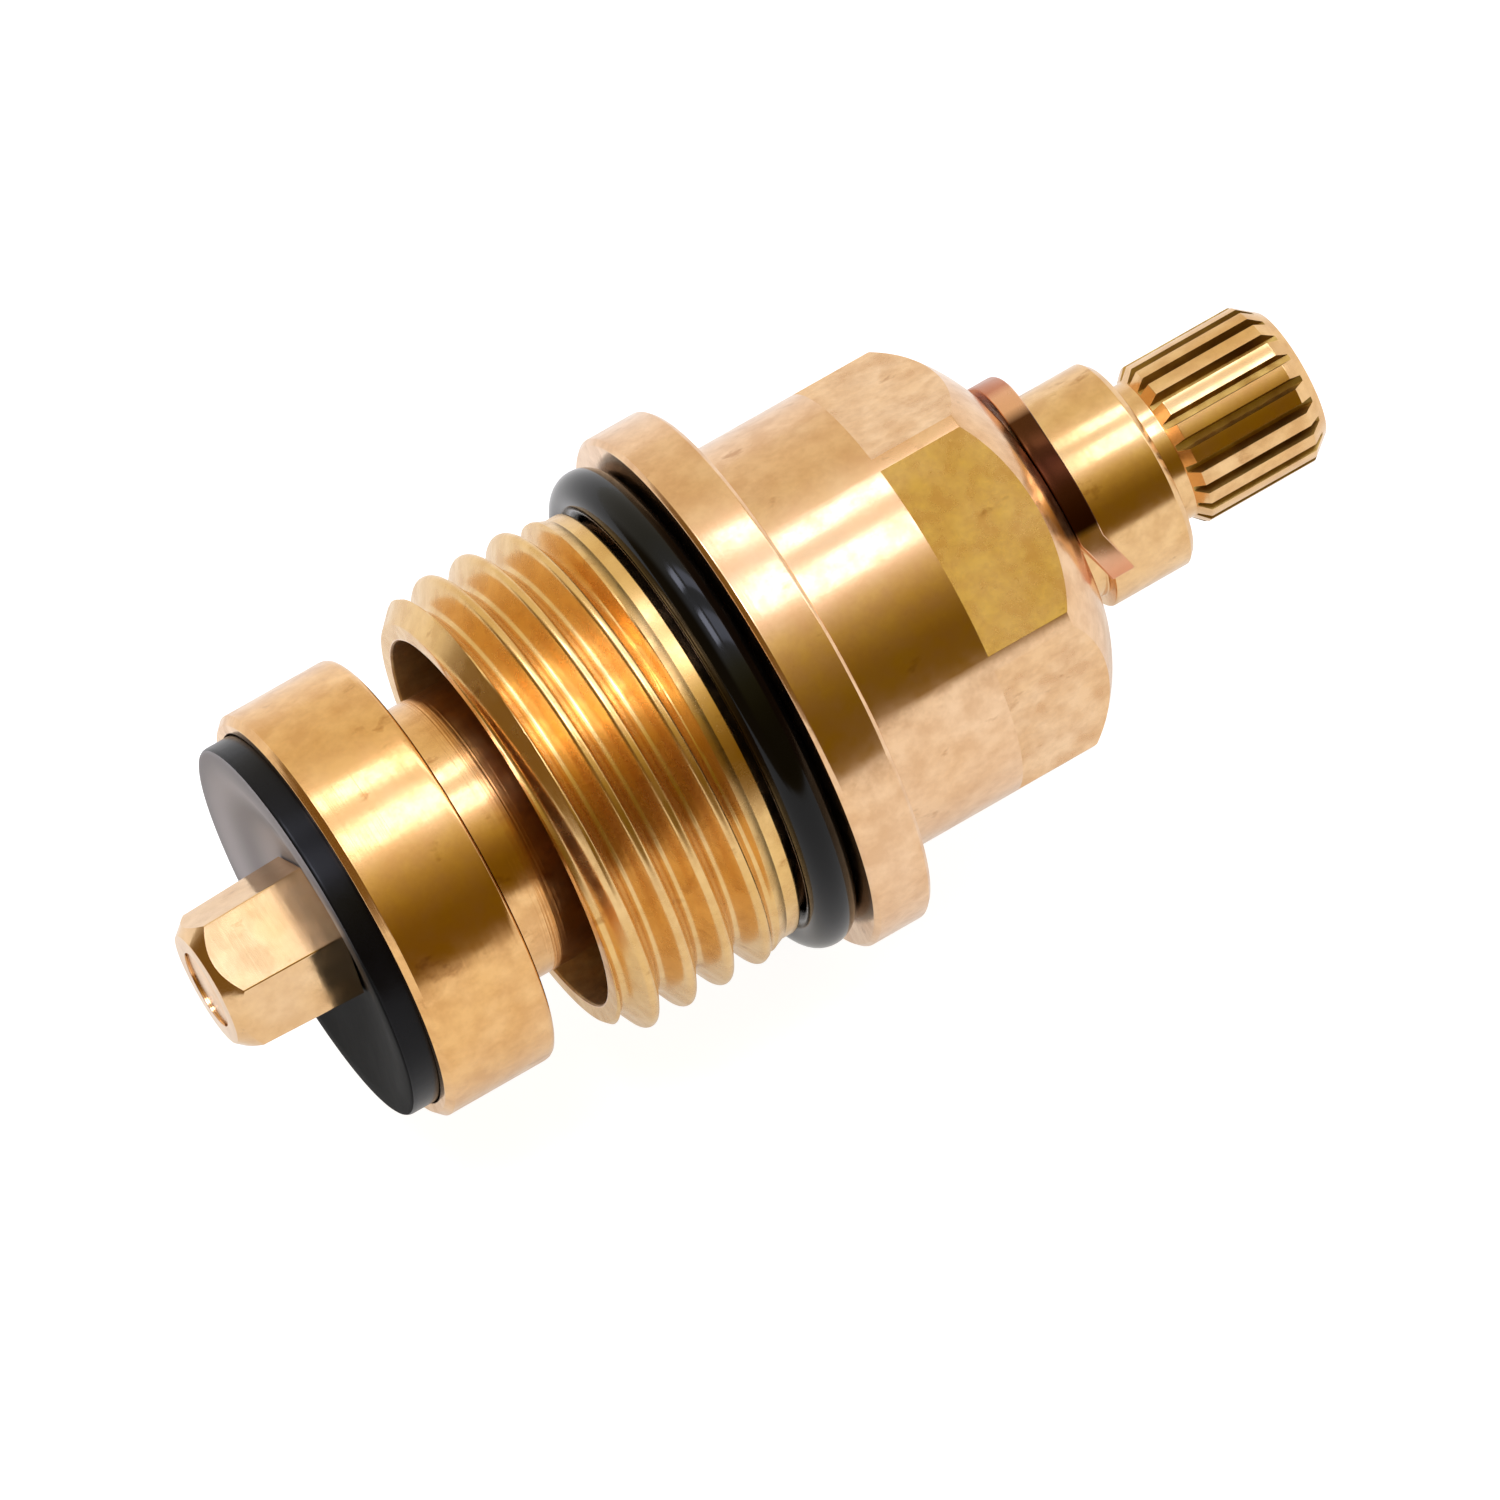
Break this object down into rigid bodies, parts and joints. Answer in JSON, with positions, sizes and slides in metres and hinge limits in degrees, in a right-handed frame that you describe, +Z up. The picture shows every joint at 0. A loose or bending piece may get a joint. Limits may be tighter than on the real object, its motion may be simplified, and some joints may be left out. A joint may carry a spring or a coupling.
{
  "type": "tap headwork",
  "caption": "Non-rising tap headwork: a flanged brass body with a parallel pipe thread, a splined spindle, and a rubber washer on a jumper that moves along the axis as the spindle turns.",
  "frame": {"origin": "on the spindle axis, in the plane of the flange face that seats on the tap, inside the body's pipe thread", "axes": "+X along the spindle towards its splined end, +Z up as the headwork lies on its side, -Y to the side that the picture shows"},
  "size_m": [0.0529, 0.0242, 0.0242],
  "materials": {
    "body_brass": "turned, polished",
    "spindle_brass": "turned, polished",
    "jumper_brass": "turned, polished",
    "nut_brass": "turned from hexagon bar",
    "clip_bronze": "phosphor bronze strip",
    "seal_rubber": "smooth, slightly glossy",
    "washer_rubber": "moulded, satin",
    "thrust_plastic": "matt"
  },
  "bodies": {
    "body": {"headwork_body": "body_brass", "body_seal_ring": "seal_rubber", "thrust_washer": "thrust_plastic"},
    "spindle": {"spindle": "spindle_brass", "spindle_o_ring_upper": "seal_rubber", "spindle_o_ring_lower": "seal_rubber", "spindle_circlip": "clip_bronze"},
    "jumper": {"jumper": "jumper_brass", "tap_washer": "washer_rubber", "washer_nut": "nut_brass"}
  },
  "joints": [
    {"name": "spindle_turn", "type": "hinge", "parent": "body", "child": "spindle", "pos_m": [0, 0, 0], "axis": [1, 0, 0], "range_deg": [-360, 468]},
    {"name": "jumper_slide", "type": "slide", "parent": "body", "child": "jumper", "axis": [1, 0, 0], "range_m": [-0.00205, 0.00265]}
  ],
  "couplings": [
    {"joint": "jumper_slide", "follows": "spindle_turn", "m_per_rad": 0.00031831}
  ]
}
